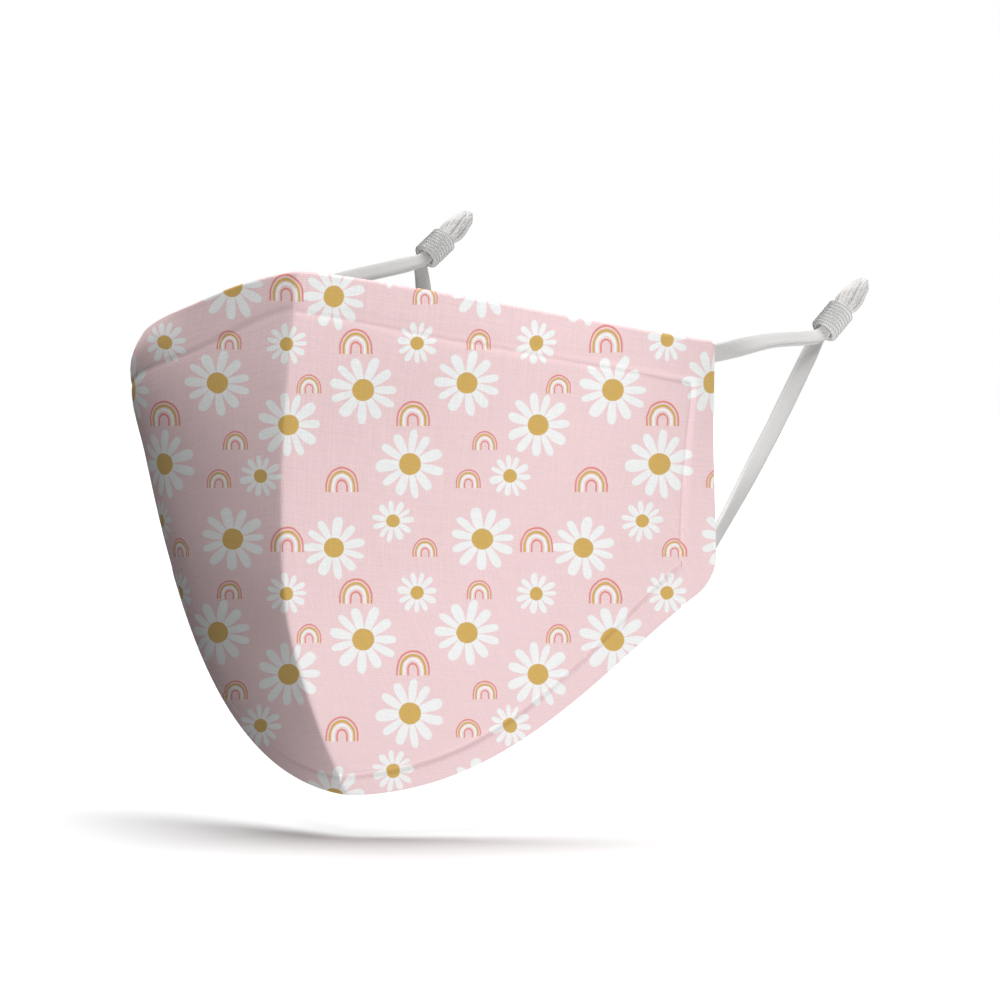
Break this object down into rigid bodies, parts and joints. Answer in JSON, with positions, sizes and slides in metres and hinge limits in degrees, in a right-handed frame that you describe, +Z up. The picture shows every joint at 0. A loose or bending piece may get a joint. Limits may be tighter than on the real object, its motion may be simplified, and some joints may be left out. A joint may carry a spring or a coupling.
{
  "type": "cloth face mask",
  "caption": "Shaped cloth face mask with a centre seam, folded hems and adjustable elastic ear loops, printed with daisies and small rainbows, kept in its worn form.",
  "frame": {"origin": "top end of the centre seam, where the mask rests on the bridge of the nose", "axes": "+Z up, the wearer faces -Y, +X towards the wearer's left, so the ear loops reach back along +Y"},
  "size_m": [0.1742, 0.2182, 0.1649],
  "materials": {
    "printed_cloth": "matt plain weave with a printed pattern",
    "elastic": "soft ribbed knit",
    "silicone": "translucent satin"
  },
  "bodies": {
    "root": {"front_panel_left": "printed_cloth", "front_panel_right": "printed_cloth", "nose_band": "printed_cloth", "chin_hem": "printed_cloth", "side_casing_left": "printed_cloth", "side_casing_right": "printed_cloth", "ear_loop_left": "elastic", "ear_loop_right": "elastic", "adjuster_left": "silicone", "adjuster_right": "silicone"}
  },
  "joints": []
}
